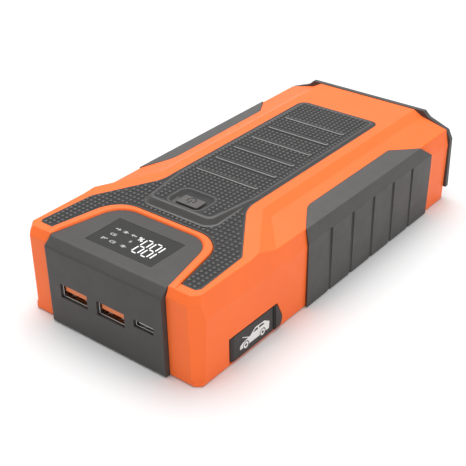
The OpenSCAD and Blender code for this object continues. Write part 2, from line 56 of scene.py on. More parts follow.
# An edge is long from this length on. A point is at a place of the CAD model when it is this near.
LONG, NEAR = 2.4, 0.1


# ---- outlines

def corner(before, at, after, radius, steps=8):
    """Points of the arc that rounds one corner of an outline."""
    u, v = (before - at).normalized(), (after - at).normalized()
    half = math.acos(max(-1, min(1, u.dot(v)))) / 2
    centre = at + (u + v).normalized() * (radius / math.sin(half))
    start = at + u * (radius / math.tan(half)) - centre
    end = at + v * (radius / math.tan(half)) - centre
    sweep = start.angle_signed(end)
    turned = [Matrix.Rotation(-sweep * i / steps, 2) @ start for i in range(steps + 1)]
    return [centre + p for p in turned]


def rounded(points, steps=8):
    """A closed outline from corners given as (x, y, radius)."""
    flat = [Vector(p[:2]) for p in points]
    n = len(flat)
    return [q for i in range(n)
            for q in corner(flat[i - 1], flat[i], flat[(i + 1) % n], points[i][2], steps)]


def mirrored(points):
    """Corners on the right, with the same on the left after them."""
    return list(points) + [(-x, y, r) for x, y, r in reversed(points)]


def block(half_x, half_y, radius, at=(0, 0), steps=6):
    """Outline of a rounded rectangle."""
    x, y = at
    return rounded([(x + half_x, y - half_y, radius), (x + half_x, y + half_y, radius),
                    (x - half_x, y + half_y, radius), (x - half_x, y - half_y, radius)], steps)


def grown(outline, by):
    """The outline moved outwards by a distance, or inwards if it is negative."""
    n = len(outline)
    area = sum(outline[i - 1].cross(outline[i]) for i in range(n))
    out = []
    for i, p in enumerate(outline):
        a, b = (p - outline[i - 1]), (outline[(i + 1) % n] - p)
        normal = (a.normalized() + b.normalized()).normalized()
        normal = Vector((normal.y, -normal.x)) * (1 if area > 0 else -1)
        out.append(p + normal * (by(p) if callable(by) else by))
    return out


def inside(outline, p):
    """Whether a point is in an outline."""
    n, hit = len(outline), False
    for i in range(n):
        a, b = outline[i - 1], outline[i]
        if (a.y > p.y) != (b.y > p.y) and p.x < a.x + (b.x - a.x) * (p.y - a.y) / (b.y - a.y):
            hit = not hit
    return hit


def clear_of(outline, p):
    """Distance from a point to the outline."""
    return min(near_segment(outline[i - 1], outline[i], p) for i in range(len(outline)))


def near_segment(a, b, p):
    """Distance from a point to the line between two others."""
    ab, tiny = b - a, 1e-9
    t = max(0, min(1, (p - a).dot(ab) / max(ab.length_squared, tiny)))
    return (a + ab * t - p).length


def deck_z(y):
    if y >= SLOPE_BACK_Y:
        return DECK_Z
    share = max(0, (y - SLOPE_FRONT_Y) / (SLOPE_BACK_Y - SLOPE_FRONT_Y))
    return NOSE_Z + (DECK_Z - NOSE_Z) * share


# ---- mesh tools

def ring_of(bm, outline, height):
    """One closed row of vertices; height is a number or a function of the point."""
    level = height if callable(height) else lambda p: height
    return [bm.verts.new((p.x, p.y, level(p))) for p in outline]


def stack(bm, rows):
    """A closed solid through rows of vertices, capped at both ends; gives back its last cap."""
    bridge(bm, *rows)
    bm.faces.new(reversed(rows[0]))
    return bm.faces.new(rows[-1])


def bridge(bm, *rows):
    for low, high in zip(rows, rows[1:]):
        for i in range(len(low)):
            bm.faces.new((low[i - 1], low[i], high[i], high[i - 1]))


def lathe(bm, profile, centre=(0, 0), steps=24):
    """A closed round solid from (radius, height) points, from the foot to the top."""
    rows = [[bm.verts.new((centre[0] + r * math.cos(t), centre[1] + r * math.sin(t), z))
             for t in [2 * math.pi * i / steps for i in range(steps)]] for r, z in profile]
    stack(bm, rows)


def slab(bm, outline, low, high, edge=0.0, steps=3):
    """A closed flat solid with its upper edge rounded; gives back its top face."""
    rows = [ring_of(bm, outline, low)]
    for i in range(steps + 1 if edge else 1):
        t = i / steps * math.pi / 2 if edge else 0
        rows.append(ring_of(bm, grown(outline, -edge * (1 - math.cos(t))),
                            high - edge + edge * math.sin(t)))
    top = stack(bm, rows)
    bmesh.ops.recalc_face_normals(bm, faces=bm.faces)
    return top


def box_in(bm, low, high):
    """A box between two corners; gives back its vertices."""
    made = bmesh.ops.create_cube(bm, size=1)["verts"]
    for v in made:
        v.co = Vector([(lo + hi) / 2 + c * (hi - lo) for c, lo, hi in zip(v.co, low, high)])
    return made


def join_flat_faces(bm, turn=0.4):
    bmesh.ops.dissolve_limit(bm, angle_limit=math.radians(turn), verts=bm.verts[:], edges=bm.edges[:])


def close_spikes(bm, reach=0.01, shortest=5, end=0.01):
    """Joins each vertex to a long edge of its own face that passes through it, but not near its ends."""
    joined = {}
    for face in bm.faces[:]:
        for e in face.edges[:]:
            a, b = e.verts
            run = b.co - a.co
            if run.length < shortest:
                continue
            for v in face.verts[:]:
                t = (v.co - a.co).dot(run) / run.length_squared
                if end < t < 1 - end and (a.co + run * t - v.co).length < reach and v not in joined:
                    joined[bmesh.utils.edge_split(e, a, t)[1]] = v
                    break
    bmesh.ops.weld_verts(bm, targetmap=joined)


def cad_copy(node, reach=0.002):
    """A CAD node's mesh in millimetres, with its flat faces joined."""
    bm = bmesh.new()
    bm.from_mesh(NODES[node].data)
    bmesh.ops.scale(bm, vec=(1 / MM,) * 3, verts=bm.verts)
    bmesh.ops.remove_doubles(bm, verts=bm.verts, dist=reach)
    join_flat_faces(bm)
    close_spikes(bm)
    join_flat_faces(bm)
    return bm


def plain_width(face):
    """A face's area shared out along its longest edge."""
    return face.calc_area() / max(e.calc_length() for e in face.edges)


def weld(bm, chosen, reach=0.5):
    """Merges the points of a corner whose facets meet almost in one point into the highest of them."""
    near = sorted((v for v in bm.verts if chosen(v.co)), key=lambda v: -v.co.z)
    joined = {}
    for i, high in enumerate(near):
        if high not in joined:
            joined.update({low: high for low in near[i + 1:]
                           if low not in joined and (low.co - high.co).length < reach})
    bmesh.ops.weld_verts(bm, targetmap=joined)


def long_edge(e, shortest=LONG, narrowest=1.3):
    """Whether an edge is long and lies between wide faces, as the edges of a facet do."""
    return e.calc_length() > shortest and min(plain_width(f) for f in e.link_faces) > narrowest


def round_edges(bm, width, chosen, sharper=8, segments=3):
    """Rounds the edges that turn by more than an angle and pass a test."""
    bm.normal_update()
    edges = [e for e in bm.edges if e.is_manifold and abs(e.calc_face_angle(0)) > math.radians(sharper)
             and chosen(e)]
    bmesh.ops.bevel(bm, geom=edges, offset=width, offset_type="OFFSET", segments=segments,
                    profile=0.5, affect="EDGES", clamp_overlap=False, loop_slide=True)


def loft(bm, rows):
    """A closed solid through cross sections of the same number of points."""
    stack(bm, [[bm.verts.new(p) for p in row] for row in rows])


def fill_between(bm, rows):
    """Level faces between an outer row of vertices and the rows of its holes."""
    edges = []
    for row in rows:
        for i, v in enumerate(row):
            edges.append(bm.edges.get((row[i - 1], v)) or bm.edges.new((row[i - 1], v)))
    made = bmesh.ops.triangle_fill(bm, use_beauty=True, use_dissolve=False, edges=edges)["geom"]
    return [g for g in made if isinstance(g, bmesh.types.BMFace)]


def inlay(bm, outlines, low, high):
    """A thin closed plate from an outer outline and the outlines of its holes."""
    faces = fill_between(bm, [ring_of(bm, outline, low) for outline in outlines])
    made = bmesh.ops.extrude_face_region(bm, geom=faces)["geom"]
    for v in [g for g in made if isinstance(g, bmesh.types.BMVert)]:
        v.co.z = high


def turned_side(bm, known=()):
    """Turns what is new in a mesh, drawn in (y, z) with its depth up, so that its depth points along +X."""
    for v in set(bm.verts).difference(known):
        v.co = Vector((v.co.z, v.co.x, v.co.y))


def turned_front(bm, known=(), way=1):
    """Turns what is new in a mesh, drawn in (x, z) with its depth up, so that its depth runs along Y."""
    for v in set(bm.verts).difference(known):
        v.co = Vector((v.co.x, way * v.co.z, v.co.y))


def mesh_of(name, bm):
    mesh = bpy.data.meshes.new(name)
    bm.to_mesh(mesh)
    bm.free()
    return mesh


def in_scene(name, data):
    made = bpy.data.objects.new(name, data)
    bpy.context.scene.collection.objects.link(made)
    return made


def piece(name, bm, finish, body, node=None, smooth=35):
    """Makes a piece from a mesh in millimetres, gives it its finish and puts it on its body."""
    bmesh.ops.recalc_face_normals(bm, faces=bm.faces)
    plain = {f for f in bm.faces if abs(f.normal.z) > LEVEL_NORMAL or plain_width(f) > FLAT_WIDTH}
    for face in bm.faces:
        face.smooth = True
    for edge in bm.edges:
        sharp = edge.calc_face_angle(0) > math.radians(smooth)
        edge.smooth = not sharp and not plain.issuperset(edge.link_faces)
    bmesh.ops.scale(bm, vec=(MM,) * 3, verts=bm.verts)
    made = in_scene(name, mesh_of(name, bm))
    made.modifiers.new("even_shade", "WEIGHTED_NORMAL").keep_sharp = True
    for one in finish if isinstance(finish, tuple) else (finish,):
        made.data.materials.append(one)
    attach(made, body)
    if node:
        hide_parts(node)


# ---- finishes

def new_finish(name):
    """A new material with its node tree, its shader and the place on the piece, in metres."""
    made = bpy.data.materials.new(name)
    made.use_nodes = True
    tree = made.node_tree
    shader = tree.nodes["Principled BSDF"]
    place = tree.nodes.new("ShaderNodeTexCoord").outputs["Object"]
    return made, tree, shader, place


def noise(tree, place, size, detail=3.0, stretch=None):
    """Noise whose features are about size millimetres across."""
    node = tree.nodes.new("ShaderNodeTexNoise")
    node.inputs["Scale"].default_value = 1 / (size * MM)
    node.inputs["Detail"].default_value = detail
    if stretch:
        move = tree.nodes.new("ShaderNodeMapping")
        move.inputs["Scale"].default_value = stretch
        tree.links.new(place, move.inputs["Vector"])
        place = move.outputs["Vector"]
    tree.links.new(place, node.inputs["Vector"])
    return node.outputs["Fac"]


def rough(tree, shader, driver, low, high):
    """Gives the shader a roughness that runs from one value to another as the driver rises."""
    node = tree.nodes.new("ShaderNodeMapRange")
    for key, value in (("From Min", 0.3), ("From Max", 0.7), ("To Min", low), ("To Max", high)):
        node.inputs[key].default_value = value
    tree.links.new(driver, node.inputs["Value"])
    tree.links.new(node.outputs["Result"], shader.inputs["Roughness"])


def tinted(tree, shader, driver, low, high, start=0.3, end=0.7):
    """Gives the shader a colour that runs from one colour to another as the driver rises."""
    ramp = tree.nodes.new("ShaderNodeValToRGB")
    ramp.color_ramp.elements[0].position = start
    ramp.color_ramp.elements[1].position = end
    ramp.color_ramp.elements[0].color = (*low, 1)
    ramp.color_ramp.elements[1].color = (*high, 1)
    tree.links.new(driver, ramp.inputs["Fac"])
    tree.links.new(ramp.outputs["Color"], shader.inputs["Base Color"])
    return ramp.outputs["Color"]


def relief(tree, shader, signal, depth):
    """Bumps of a depth in millimetres."""
    bump = tree.nodes.new("ShaderNodeBump")
    bump.inputs["Distance"].default_value = depth * MM
    tree.links.new(signal, bump.inputs["Height"])
    tree.links.new(bump.outputs["Normal"], shader.inputs["Normal"])


def scaled(colour, by):
    return tuple(min(1, c * by) for c in colour)


def moulded(name, colour, roughness=0.45, spread=0.05, grain=0.35, depth=0.006, gloss=0.5):
    """Moulded plastic or rubber: faint mottling, a fine spark grain and uneven gloss."""
    made, tree, shader, place = new_finish(name)
    cloud = noise(tree, place, 14)
    tinted(tree, shader, cloud, scaled(colour, 1 - spread), scaled(colour, 1 + spread))
    rough(tree, shader, noise(tree, place, 5), roughness - 0.05, roughness + 0.05)
    shader.inputs["Specular IOR Level"].default_value = gloss
    relief(tree, shader, noise(tree, place, grain, 2), depth)
    return made


def metal(name, colour, roughness=0.3, stretch=(1, 1, 12), grain=0.4, depth=0.003):
    made, tree, shader, place = new_finish(name)
    shader.inputs["Metallic"].default_value = 1
    tinted(tree, shader, noise(tree, place, 6), scaled(colour, 0.9), scaled(colour, 1.08))
    lines = noise(tree, place, grain, 2, stretch)
    rough(tree, shader, lines, roughness - 0.08, roughness + 0.1)
    relief(tree, shader, lines, depth)
    return made


def lit(name, colour, strength):
    """A glowing display figure, with a slight falloff from spot to spot."""
    made, tree, shader, place = new_finish(name)
    tint = tinted(tree, shader, noise(tree, place, 1.5), scaled(colour, 0.92), colour)
    tree.links.new(tint, shader.inputs["Emission Color"])
    shader.inputs["Emission Strength"].default_value = strength
    shader.inputs["Roughness"].default_value = 0.5
    return made


def circuit_board(name):
    """Green solder mask with copper tracks that show through."""
    made, tree, shader, place = new_finish(name)
    cells = tree.nodes.new("ShaderNodeTexBrick")
    cells.inputs["Scale"].default_value = 160
    cells.inputs["Mortar Size"].default_value = 0.03
    cells.inputs["Color1"].default_value = (0.012, 0.11, 0.045, 1)
    cells.inputs["Color2"].default_value = (0.016, 0.13, 0.05, 1)
    cells.inputs["Mortar"].default_value = (0.06, 0.26, 0.11, 1)
    tree.links.new(place, cells.inputs["Vector"])
    tree.links.new(cells.outputs["Color"], shader.inputs["Base Color"])
    rough(tree, shader, noise(tree, place, 3), 0.25, 0.4)
    relief(tree, shader, cells.outputs["Fac"], 0.02)
    return made


def open_foam(name, colour, cell=0.8):
    made, tree, shader, place = new_finish(name)
    cells = tree.nodes.new("ShaderNodeTexVoronoi")
    cells.inputs["Scale"].default_value = 1 / (cell * MM)
    tree.links.new(place, cells.inputs["Vector"])
    tinted(tree, shader, cells.outputs["Distance"], scaled(colour, 0.5), scaled(colour, 1.4), 0.1, 0.6)
    shader.inputs["Roughness"].default_value = 0.95
    relief(tree, shader, cells.outputs["Distance"], 0.2)
    return made


def wrinkled_foil(name, colour):
    """The aluminium laminate of a pouch cell."""
    made, tree, shader, place = new_finish(name)
    shader.inputs["Metallic"].default_value = 0.8
    folds = noise(tree, place, 7, 4)
    tinted(tree, shader, folds, scaled(colour, 0.8), colour)
    rough(tree, shader, folds, 0.28, 0.45)
    relief(tree, shader, folds, 0.15)
    return made


def clear(name, colour, roughness=0.03):
    made, tree, shader, place = new_finish(name)
    shader.inputs["Transmission Weight"].default_value = 0.9
    shader.inputs["IOR"].default_value = 1.49
    haze = noise(tree, place, 4)
    tinted(tree, shader, haze, scaled(colour, 0.97), colour)
    rough(tree, shader, haze, roughness, roughness + 0.05)
    return made


ORANGE = moulded("orange_abs", (1.0, 0.172, 0.034), 0.42, 0.03, gloss=0.22)
PANEL_GREY = moulded("panel_grey", (0.061, 0.059, 0.057), 0.45, gloss=0.27)
CAP_GREY = moulded("cap_grey", (0.066, 0.063, 0.061), 0.45, gloss=0.3)
GRIP_GREY = moulded("grip_rubber_grey", (0.062, 0.059, 0.057), 0.55, grain=0.5, depth=0.01)
PAD_GREY = moulded("pad_grey", (0.05, 0.048, 0.047), 0.33, gloss=0.5)
# Painted shade: the pad's floor between its bumps, and the ribs' tops, are coloured far darker than the pad
# to stand in for the shade there.
FIELD_PAINTED_SHADE = moulded("pad_floor_painted_shade", (0.014, 0.014, 0.0145), 0.5, gloss=0.3)
# Painted highlight: a light grey on the ribs' rounded rims, standing in for the glint of light along them.
CREST_PAINTED_HIGHLIGHT = moulded("rib_rim_painted_highlight", (0.19, 0.185, 0.18), 0.25, gloss=0.6)
KEY_GREY = moulded("key_grey", (0.085, 0.079, 0.075), 0.42, gloss=0.4)
GLASS_GREY = moulded("display_lens_grey", (0.024, 0.024, 0.023), 0.35, 0.03, 0.8, 0.001, 0.2)
COVER_RUBBER = moulded("cover_rubber_black", (0.045, 0.045, 0.044), 0.55, grain=0.5, depth=0.01, gloss=0.3)
INK_BLACK = moulded("symbol_black", (0.006, 0.006, 0.006), 0.5, gloss=0.2)
INK_WHITE = moulded("symbol_white", (0.82, 0.82, 0.8), 0.5, 0.02)
DIGITS = lit("display_figures", (0.9, 0.9, 0.9), 0.3)
MARKS = lit("display_marks", (0.42, 0.42, 0.42), 0.06)
STEEL = metal("shell_steel", (0.45, 0.43, 0.41), 0.28)
PORT_ORANGE = moulded("port_tongue_orange", (0.8, 0.2, 0.055), 0.45)
PORT_GREY = moulded("port_tongue_grey", (0.62, 0.62, 0.6), 0.4)
BRASS = metal("contact_brass", (0.83, 0.6, 0.25), 0.25)
FOOT_RUBBER = moulded("foot_rubber_black", (0.02, 0.02, 0.02), 0.75, grain=0.6, depth=0.02)
BASE_GREY = moulded("base_grey", (0.035, 0.035, 0.036), 0.55, grain=0.5, depth=0.012)
SCREW_STEEL = metal("screw_steel_bright", (0.5, 0.5, 0.52), 0.3)
BLACK_STEEL = metal("screw_steel_black", (0.05, 0.05, 0.055), 0.35)
CHROME = metal("reflector_chrome_bright", (0.9, 0.9, 0.92), 0.09, (1, 1, 1), 2.0, 0.002)
LENS_CLEAR = clear("torch_lens_clear", (0.97, 0.98, 1.0))

INNER = {
    "display_module": moulded("module_white", (0.75, 0.75, 0.72), 0.5),
    "display_ribbon": moulded("ribbon_film_amber", (0.5, 0.2, 0.03), 0.3),
    "switch_plunger": moulded("plunger_black", (0.02, 0.02, 0.02), 0.5),
    "tact_switch": metal("tact_switch_tin", (0.6, 0.6, 0.6), 0.35),
    "cover_pin": SCREW_STEEL,
    "jump_socket": moulded("socket_blue_nylon", (0.02, 0.07, 0.28), 0.4),
    "jump_contacts": BRASS,
    "positive_lead": moulded("lead_red_silicone", (0.5, 0.015, 0.01), 0.5),
    "negative_lead": moulded("lead_black_silicone", (0.015, 0.015, 0.015), 0.5),
    "control_chips": moulded("chip_epoxy", (0.02, 0.02, 0.022), 0.45),
    "inductors": moulded("ferrite_grey", (0.07, 0.07, 0.075), 0.6, grain=0.3, depth=0.02),
    "capacitors": moulded("capacitor_sleeve_blue", (0.03, 0.05, 0.2), 0.3),
    "power_transistors": moulded("transistor_epoxy", (0.018, 0.018, 0.02), 0.5),
    "heat_sink": metal("heat_sink_aluminium", (0.75, 0.75, 0.76), 0.35, (12, 1, 1)),
    "relay": moulded("relay_white_case", (0.7, 0.7, 0.66), 0.45),
    "board_screws": SCREW_STEEL,
    "cell_foam": open_foam("cell_foam_black", (0.03, 0.03, 0.03)),
    "cell_frame": moulded("frame_cream_plastic", (0.62, 0.58, 0.48), 0.5),
    "cell_tabs": metal("tab_nickel_strip", (0.65, 0.62, 0.56), 0.3),
    "bus_bars": metal("bus_bar_copper", (0.8, 0.36, 0.2), 0.3),
    "torch_led": moulded("led_phosphor", (0.85, 0.7, 0.15), 0.5),
    "torch_reflector": CHROME,
    "panel_screws": SCREW_STEEL,
    "housing_screws": BLACK_STEEL,
}
BOARD = circuit_board("board_solder_mask")
FOIL = wrinkled_foil("cell_foil_laminate", (0.55, 0.58, 0.62))
for board in ("display_board", "control_board", "power_board", "torch_board"):
    INNER[board] = BOARD
for cell in ("cell_1", "cell_2", "cell_3", "cell_4"):
    INNER[cell] = FOIL
INNER["base_cover"] = BASE_GREY
for node, finish in INNER.items():
    NODES[node].data.materials.clear()
    NODES[node].data.materials.append(finish)


# ---- casing

# The casing's outer skin lies beyond these distances from its middle, and less than a depth under the deck.
SKIN_X, SKIN_Y, SKIN_Z, SKIN_DEPTH = 39.0, 83.5, 33.0, 1.0

# What isn't outer skin: the rim round the base cover, the port recess and the display panel's opening.
BASE_RIM_X, BASE_RIM_Y, BASE_RIM_Z = 38.6, 82.0, 0.35
RECESS_X, RECESS_FRONT, RECESS_REAR, RECESS_TOP = 39.0, -70.0, -36.0, 13.5
OPENING_X, OPENING_FRONT, OPENING_REAR = 31.5, -82.0, -50.0

# The ring round the display panel. Each edge goes from a foot to a corner, which has a radius.
RING_OUTER = ((31.4, -82.4), (25.2, -50.3), 12.5)
RING_INNER = ((28.4, -82.4), (21.6, -52.8), 10.1)
RING_TOP, RING_ROOT, RING_FOOT_TOP = 36.9, 35.4, 36.23
RING_RAMP_Y = -78.6
RING_INNER_R, RING_OUTER_R, RING_STEEPEST = 1.1, 0.7, 0.75

# The display panel: its glass, its front face, its chamfers and its half width.
SCREEN_Z = 36.1
PANEL_FACE_Y, PANEL_CHAMFER_Y, PANEL_SHOULDER_Z = -86.5, -82.7, 35.5
PANEL_HALF, PANEL_RIM = 28.3, 0.3

# Where the facets of a front corner meet.
FRONT_Y = -84.3
CORNER_X, CORNER_LOW, CORNER_HIGH = 37.5, 32.0, 33.2

# The foot of a front corner flares out from the corner's facet. |x| - y is under FLARE_INNER on the facet
# and over it on the foot.
FOOT_X, FOOT_Y, FOOT_TOP = 38.0, -80.0, 1.2
FLARE_TOP, FLARE_LOW, FLARE_INNER = 2.4, 0.9, 122.8

# The rear cap's outer face. The grips: beyond GRIP_REAR_Y is a narrow facet, which stays sharp, as does the
# crest between the top facet and the side.
CAP_FACE_Y = 86.0
GRIP_SKIN_X, GRIP_REAR_Y = 33.0, 66.0
GRIP_CREST_X, GRIP_CREST_Z = 41.2, 33.3

# How far the edges of each piece are rounded.
SHELL_ROUND, PANEL_ROUND, CAP_ROUND, GRIP_ROUND = 0.35, 0.9, 0.6, 0.32


def on_outside(p):
    """Whether a point is on the casing's outer skin, not in its cavity, holes or port recess."""
    x, y, z = abs(p.x), p.y, p.z
    if z < BASE_RIM_Z and x < BASE_RIM_X and abs(y) < BASE_RIM_Y:
        return False
    if p.x > RECESS_X and z < RECESS_TOP and RECESS_FRONT < y < RECESS_REAR:
        return False
    if x < OPENING_X and OPENING_FRONT < y < OPENING_REAR:
        return False
    return x > SKIN_X or abs(y) > SKIN_Y or z > min(SKIN_Z, deck_z(y) - SKIN_DEPTH)


def ring_path(edge):
    """One edge of the ring, from its foot on the right round to its foot on the left."""
    foot, top, radius = Vector(edge[0]), Vector(edge[1]), edge[2]
    across = Vector((-top.x, top.y))
    ramp = foot.lerp(top, (RING_RAMP_Y - foot.y) / (top.y - foot.y))
    right = [foot, ramp] + corner(foot, top, across, radius, steps=14)
    return right + [Vector((-p.x, p.y)) for p in reversed(right)]


def ring_section(inner, outer, top, steps=4):
    """Points across the ring, up its round inner side, over it and down its outer side."""
    width, rise = (outer - inner).length, top - RING_ROOT
    inner_r, outer_r = [min(r, rise * RING_STEEPEST) for r in (RING_INNER_R, RING_OUTER_R)]
    arcs = [math.pi / 2 * i / steps for i in range(steps + 1)]
    across = [(0, 0)] + [(inner_r * (1 - math.cos(t)), rise - inner_r * (1 - math.sin(t))) for t in arcs]
    across += [(width - outer_r * (1 - math.cos(t)), rise - outer_r * (1 - math.sin(t)))
               for t in reversed(arcs)] + [(width, 0)]
    along = (outer - inner).normalized()
    return [(*(inner + along * d), RING_ROOT + up) for d, up in across]


def ring(bm):
    """The ring, which runs out into the casing at its two feet."""
    inner, outer = ring_path(RING_INNER), ring_path(RING_OUTER)
    foot_y = RING_INNER[0][1]
    tops = [RING_FOOT_TOP if abs(p.y - foot_y) < NEAR else RING_TOP for p in inner]
    loft(bm, [ring_section(*station) for station in zip(inner, outer, tops)])


def sink_cad_ring(bm, hair=0.02):
    """Lowers the CAD model's plain ring into the deck, where the modelled one takes its place."""
    for v in bm.verts:
        in_opening = abs(v.co.x) < OPENING_X and v.co.y < OPENING_REAR
        if in_opening and v.co.z > deck_z(v.co.y) + hair:
            v.co.z = NOSE_Z - NEAR


def flare_feet(bm):
    """Turns the ledge over the foot of each front corner into a slope."""
    for v in bm.verts:
        if v.co.y < FOOT_Y and abs(v.co.x) > FOOT_X and abs(v.co.z - FOOT_TOP) < NEAR / 2:
            v.co.z = FLARE_TOP if abs(v.co.x) - v.co.y < FLARE_INNER else FLARE_LOW


def orange_shell():
    bm = cad_copy("upper_housing")
    sink_cad_ring(bm)
    weld(bm, lambda p: abs(p.x) > CORNER_X and p.y < FRONT_Y + NEAR and CORNER_LOW < p.z < CORNER_HIGH)
    round_edges(bm, SHELL_ROUND, lambda e: long_edge(e) and all(on_outside(v.co) for v in e.verts))
    flare_feet(bm)
    ring(bm)
    piece("orange_shell", bm, ORANGE, "pack", "upper_housing")


def front_shell():
    bm = cad_copy("front_panel")
    top_z = SCREEN_Z - 4 * NEAR
    weld(bm, lambda p: p.y < PANEL_CHAMFER_Y + NEAR and p.z > top_z)

    def on_rim(v):
        on_face = v.co.y < PANEL_FACE_Y + NEAR / 2
        on_chamfer = v.co.y < PANEL_CHAMFER_Y + NEAR and v.co.z > PANEL_SHOULDER_Z
        return abs(v.co.x) > PANEL_HALF - PANEL_RIM and (on_face or on_chamfer)

    round_edges(bm, PANEL_ROUND, lambda e: e.calc_length() > LONG and all(on_rim(v) for v in e.verts),
                sharper=20, segments=4)
    piece("front_shell", bm, PANEL_GREY, "pack", "front_panel")


def rear_end_cap():
    bm = cad_copy("rear_cap")
    round_edges(bm, CAP_ROUND, lambda e: long_edge(e, 1.5) and min(v.co.y for v in e.verts) > CAP_FACE_Y)
    piece("rear_end_cap", bm, CAP_GREY, "pack", "rear_cap")


def hand_grip(side):
    bm = cad_copy(f"{side}_grip")

    def on_skin(e):
        on_crest = all(abs(v.co.x) > GRIP_CREST_X and v.co.z > GRIP_CREST_Z for v in e.verts)
        return (min(abs(v.co.x) for v in e.verts) > GRIP_SKIN_X
                and min(v.co.y for v in e.verts) < GRIP_REAR_Y and not on_crest)

    round_edges(bm, GRIP_ROUND, lambda e: long_edge(e, narrowest=0.6) and on_skin(e))
    piece(f"{side}_hand_grip", bm, GRIP_GREY, "pack", f"{side}_grip")


orange_shell()
front_shell()
rear_end_cap()
hand_grip("left")
hand_grip("right")


# ---- top pad

# The pad: a thin skin on the deck, wide round the display and narrow behind it, with a rounded rim and a
# plain strip along it.
PAD_HALF, PAD_NOSE_HALF, PAD_BACK, PAD_FRONT = 20.1, 38.2, 62.2, -79.0
PAD_SKIN, PAD_THICK = 0.1, 1.1
PAD_ROUND, PAD_STRIP = 0.12, 0.3

# The plateau on its narrow part, with a slanted wall and a plain strip along its rim.
PLATEAU_Z, WALL_SLANT, PLATEAU_STRIP = 39.5, 0.9, 1.1

# The ribs across the plateau: each has a rim coloured light as a painted highlight, as deep as RIB_RIM.
RIB_COUNT, RIB_PITCH, FIRST_RIB_Y = 6, 11.8, -16.7
RIB_HALF, RIB_WIDTH, RIB_RISE, RIB_ROOT = 15.1, 2.0, 0.5, 0.3
RIB_ROUND, RIB_RIM = 0.45, 0.3
RIB_YS = [FIRST_RIB_Y + RIB_PITCH * i for i in range(RIB_COUNT)]

# The bumps, and how far they stay from an edge, a rib and the dish.
KNURL_PITCH, KNURL_RADIUS, KNURL_RISE = 2.1, 0.84, 0.45
KNURL_SUNK, KNURL_BRIM = 0.15, 0.02
KNURL_MARGIN, RIM_MARGIN = 1.05, 1.45
RIB_MARGIN_X, RIB_MARGIN_Y, DISH_MARGIN_X = 0.9, 1.6, 1.5
BARE_FRONT_Y = -32.0

# The dish and the button in it. A plain collar lies round the dish.
DISH_HALF_X, DISH_HALF_Y, DISH_R = 6.9, 4.7, 2.0
DISH_FLOOR, DISH_SLANT, DISH_SHIFT, DISH_COLLAR = 38.0, 0.75, 0.5, 1.9
KEY_HALF_X, KEY_HALF_Y, KEY_R, KEY_GAP = 5.1, 3.0, 0.8, 0.3
WELL_FLOOR, WELL_CHAMFER = 37.0, 0.15
INK_DEPTH = 0.02
KEY_LOW, KEY_HIGH = [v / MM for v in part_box("power_button")]
KEY_Y = (KEY_LOW.y + KEY_HIGH.y) / 2


def pad_outline():
    return rounded(mirrored([(PAD_HALF, PAD_BACK, 4), (PAD_HALF, -30, 12), (36.8, -53.8, 1.5),
                             (PAD_NOSE_HALF, -77.4, 1.2), (36.9, PAD_FRONT, 1.2), (30.9, PAD_FRONT, 1.2),
                             (25.35, -50.15, 12.6)]))


def plateau_outline():
    return rounded(mirrored([(18.6, PAD_BACK - 1.5, 3), (18.6, -22, 20), (17.3, -31, 20),
                             (14.9, -44.8, 3)]), 10)


def dish_outline(grow=0.0):
    return block(DISH_HALF_X + grow, DISH_HALF_Y + grow, DISH_R + grow, (0, KEY_Y + DISH_SHIFT))


def key_outline(grow=0.0):
    return block(KEY_HALF_X + grow, KEY_HALF_Y + grow, KEY_R + grow, (0, KEY_Y))


def pad_skin(bm):
    """The flush skin that follows the deck, with a rounded rim and a field coloured darker as painted shade
    between the bumps.
    """
    outline = grown(pad_outline(), -PAD_ROUND)
    edge = ring_of(bm, outline, 0)
    field = ring_of(bm, grown(outline, -PAD_STRIP), 0)
    bridge(bm, edge, field)
    # The field inside the plain strip takes the painted shade colour.
    bm.faces.new(field).material_index = 1
    for y in (SLOPE_BACK_Y, SLOPE_FRONT_Y):
        bmesh.ops.bisect_plane(bm, geom=bm.verts[:] + bm.edges[:] + bm.faces[:], plane_co=(0, y, 0),
                               plane_no=(0, 1, 0))
    made = bmesh.ops.extrude_face_region(bm, geom=bm.faces[:])["geom"]
    for v in [g for g in made if isinstance(g, bmesh.types.BMVert)]:
        v.co.z -= PAD_THICK
    bmesh.ops.recalc_face_normals(bm, faces=bm.faces)
    round_edges(bm, PAD_ROUND, lambda e: all(v.co.z > -PAD_SKIN for v in e.verts), sharper=60, segments=2)
    for v in bm.verts:
        v.co.z += deck_z(v.co.y) + PAD_SKIN


